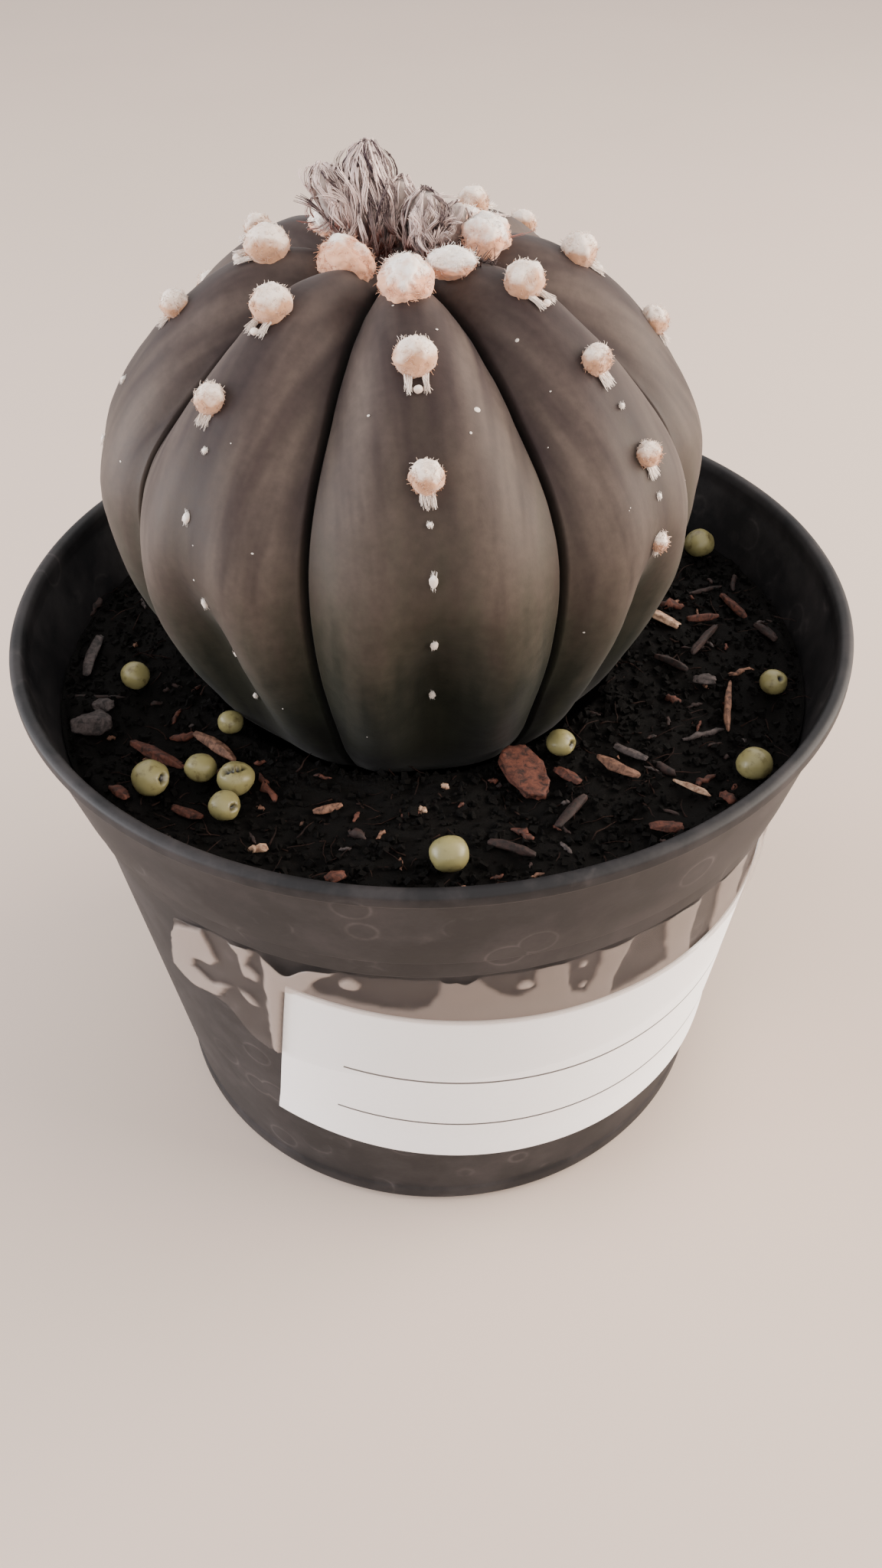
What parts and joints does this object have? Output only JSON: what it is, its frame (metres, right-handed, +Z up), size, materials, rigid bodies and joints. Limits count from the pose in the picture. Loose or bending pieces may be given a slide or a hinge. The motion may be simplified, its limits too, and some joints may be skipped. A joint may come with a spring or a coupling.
{
  "type": "potted star cactus",
  "caption": "Ribbed spineless globular cactus with woolly tufts and hairy flower buds on its crown, growing in soil in a small round tapered plastic pot with a blank taped label.",
  "frame": {"origin": "middle of the pot's foot, on the surface it stands on", "axes": "+Z up along the pot's axis, -Y towards the side with the label"},
  "size_m": [0.09, 0.09, 0.1133],
  "materials": {
    "pot_plastic": "moulded polypropylene, satin with dried water marks",
    "potting_mix": "damp crumbly peat and bark fines",
    "cactus_skin": "satin waxy skin, grey-mauve above and olive green below",
    "bud_wool": "pale wool with dark-tipped bristles",
    "prill_resin": "smooth coated pellet, satin",
    "bark": "rough fibrous bark",
    "label_paper": "uncoated white paper",
    "clear_tape": "clear glossy film with trapped air"
  },
  "bodies": {
    "root": {"bark_chip_01": "bark", "bark_chip_02": "bark", "bark_chip_03": "bark", "bark_chip_04": "bark", "bark_chip_05": "bark", "bark_chip_06": "bark", "bark_chip_07": "bark", "bark_chip_08": "bark", "bark_chip_09": "bark", "bark_chip_10": "bark", "bark_chip_11": "bark", "bark_chip_12": "bark", "bark_chip_13": "bark", "bark_chip_14": "bark", "bark_chip_15": "bark", "bark_chip_16": "bark", "bark_chip_17": "bark", "bark_chip_18": "bark", "bark_chip_19": "bark", "bark_chip_20": "bark", "bark_chip_21": "bark", "bark_chip_22": "bark", "bark_chip_23": "bark", "bark_chip_24": "bark", "bark_chip_25": "bark", "bark_chip_26": "bark", "bark_chip_27": "bark", "bark_chip_28": "bark", "bark_chip_29": "bark", "bark_flake": "bark", "flower_bud_short": "bud_wool", "flower_bud_tall": "bud_wool", "label": "label_paper", "pot": "pot_plastic", "prill_01": "prill_resin", "prill_02": "prill_resin", "prill_03": "prill_resin", "prill_04": "prill_resin", "prill_05": "prill_resin", "prill_06": "prill_resin", "prill_07": "prill_resin", "prill_08": "prill_resin", "prill_09": "prill_resin", "prill_10": "prill_resin", "prill_11": "prill_resin", "prill_12": "prill_resin", "prill_13": "prill_resin", "soil": "potting_mix", "stem": "cactus_skin", "tape": "clear_tape"}
  },
  "joints": []
}
